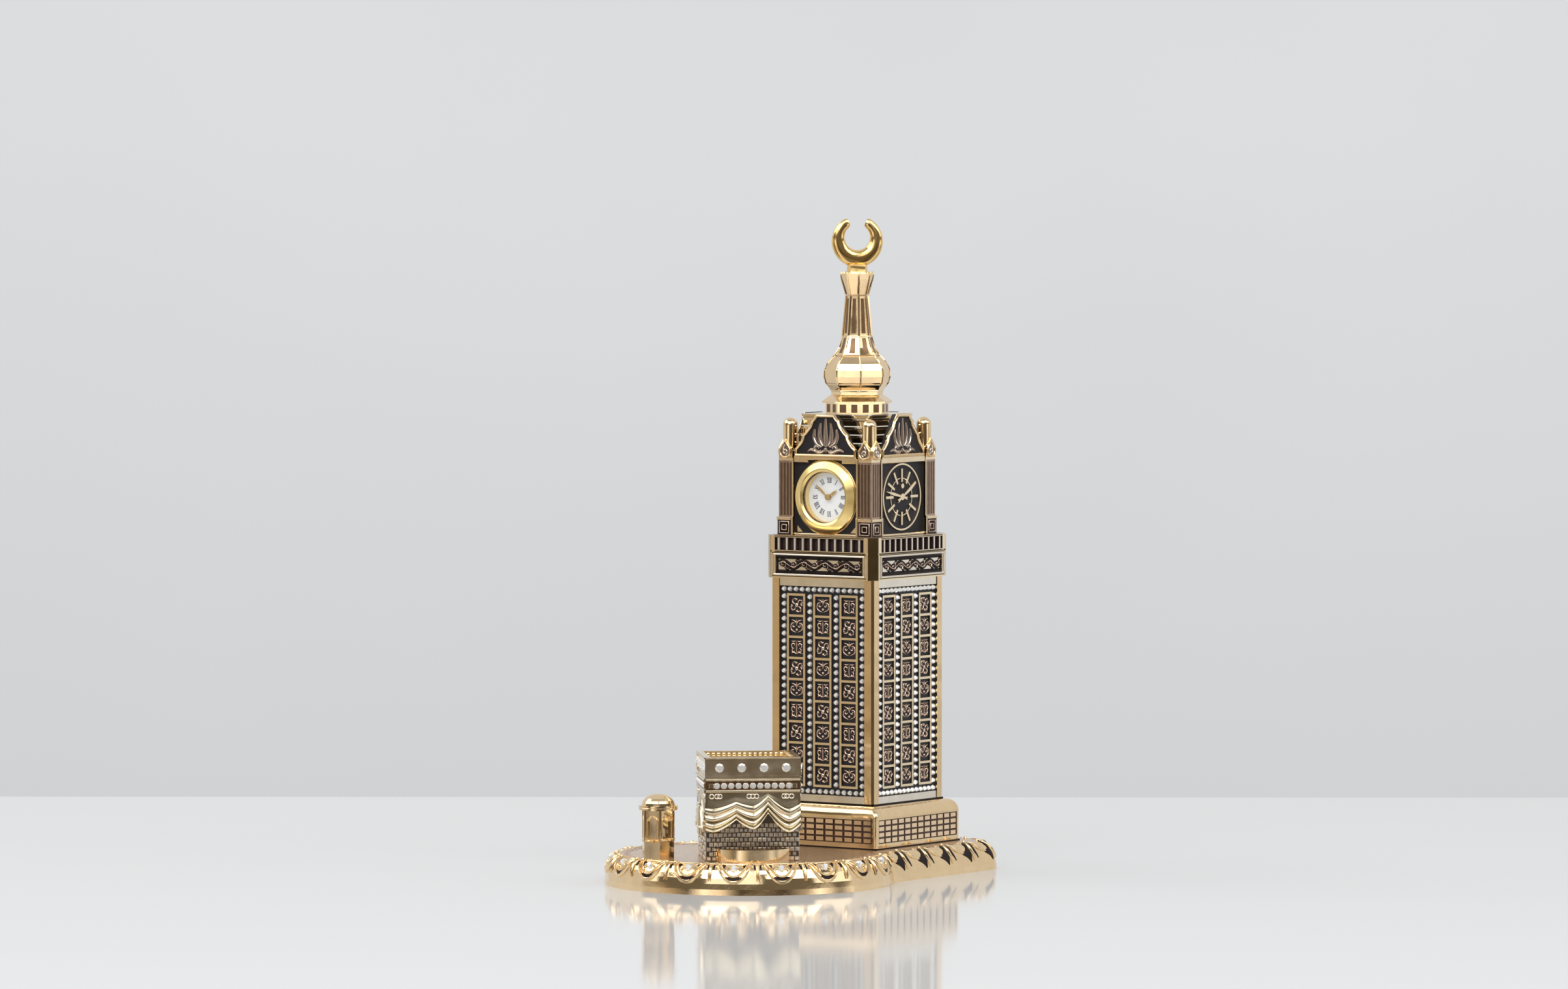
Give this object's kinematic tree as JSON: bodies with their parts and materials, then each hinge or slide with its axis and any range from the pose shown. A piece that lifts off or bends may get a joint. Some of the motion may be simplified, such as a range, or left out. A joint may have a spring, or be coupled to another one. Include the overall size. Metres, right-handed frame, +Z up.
{
  "type": "desk clock",
  "caption": "Gilt tower desk clock with a pull-out quartz insert, relief dials, stone-set panels, a crescent finial and a draped cube and domed kiosk on a swagged base.",
  "frame": {"origin": "centre of the tower's underside, on the table", "axes": "+Z up the tower, -Y out of the clock's face towards the viewer, +X to the viewer's right"},
  "size_m": [0.105, 0.1535, 0.24],
  "materials": {
    "antique_gold": "brushed antique gold with brown patina in the flutes",
    "black_plastic": "moulded black plastic",
    "board_green": "green circuit board",
    "coil_copper": "enamelled copper wire, wound",
    "crystal": "clear faceted stone",
    "dial_white": "matt white dial with black numerals",
    "felt": "dark felt with short nap",
    "grey_plastic": "moulded grey plastic",
    "grip_rubber": "soft black rubber",
    "hand_gold": "thin polished gold leaf hands",
    "lens_glass": "clear polished glass",
    "movement_brass": "plain brass",
    "olive_gold": "dull olive antique gold, dark in the recesses",
    "patina_relief": "near-black patina with gold-plated raised lines",
    "polished_gold": "mirror-polished warm gold plate",
    "satin_gold": "satin yellow gold",
    "steel": "bright zinc-plated steel"
  },
  "bodies": {
    "tower": {"base_casting": "polished_gold", "base_rim_stones": "crystal", "cornice": "polished_gold", "crescent": "polished_gold", "crescent_pin": "steel", "cube_belt": "olive_gold", "cube_body": "olive_gold", "cube_door": "olive_gold", "cube_drape": "olive_gold", "cube_parapet": "olive_gold", "cube_stones": "crystal", "dial_surround": "patina_relief", "felt_pad": "felt", "frieze_plaques": "patina_relief", "gables": "patina_relief", "head_case": "antique_gold", "kiosk_dome": "polished_gold", "kiosk_lantern": "polished_gold", "kiosk_pedestal": "polished_gold", "low_wall": "polished_gold", "miniature_screws": "steel", "pinnacles": "polished_gold", "plinth": "polished_gold", "plinth_lattices": "patina_relief", "relief_dial_back": "patina_relief", "relief_dial_left": "patina_relief", "relief_dial_right": "patina_relief", "roof_steps": "polished_gold", "shaft_panels": "patina_relief", "shaft_posts": "polished_gold", "shaft_rails": "polished_gold", "shaft_stones": "crystal", "spire_bulb": "polished_gold", "spire_collar": "polished_gold", "spire_drum": "polished_gold", "spire_neck": "polished_gold", "tie_rod": "steel", "tie_rod_nut_and_washer": "steel"},
    "clock_insert": {"insert_bezel": "satin_gold", "insert_lens": "lens_glass", "insert_case": "black_plastic", "insert_back_cover": "black_plastic", "insert_grip_ring": "grip_rubber", "dial_spacer": "satin_gold", "dial": "dial_white", "movement_holder": "grey_plastic", "movement_plate": "movement_brass", "train_bridge": "steel", "drive_block": "grey_plastic", "battery": "steel", "motor_coil": "coil_copper", "circuit_board": "board_green"},
    "minute_train": {"centre_wheel": "movement_brass", "minute_hand": "hand_gold"},
    "hour_train": {"hour_wheel": "movement_brass", "hour_hand": "hand_gold"},
    "motion_wheel": {"minute_wheel": "movement_brass"},
    "stem_slide": {"setting_yoke": "steel"},
    "crown_and_stem": {"crown": "satin_gold", "stem": "steel"}
  },
  "joints": [
    {"name": "insert_pull", "type": "slide", "parent": "tower", "child": "clock_insert", "axis": [0, -1, 0], "range_m": [0, 0.026]},
    {"name": "minute_turn", "type": "hinge", "parent": "clock_insert", "child": "minute_train", "pos_m": [0, -0.0194, 0.1381], "axis": [0, 1, 0], "continuous": true},
    {"name": "hour_turn", "type": "hinge", "parent": "clock_insert", "child": "hour_train", "pos_m": [0, -0.0194, 0.1381], "axis": [0, 1, 0], "continuous": true},
    {"name": "motion_wheel_turn", "type": "hinge", "parent": "clock_insert", "child": "motion_wheel", "pos_m": [0, -0.0194, 0.1353], "axis": [0, 1, 0], "continuous": true},
    {"name": "crown_pull", "type": "slide", "parent": "clock_insert", "child": "stem_slide", "axis": [1, 0, 0], "range_m": [0, 0.0005]},
    {"name": "crown_turn", "type": "hinge", "parent": "stem_slide", "child": "crown_and_stem", "pos_m": [0.0105, -0.0138, 0.1381], "axis": [1, 0, 0], "continuous": true}
  ],
  "couplings": [
    {"joint": "hour_turn", "follows": "minute_turn", "ratio": 0.083333},
    {"joint": "motion_wheel_turn", "follows": "minute_turn", "ratio": -0.33333}
  ]
}
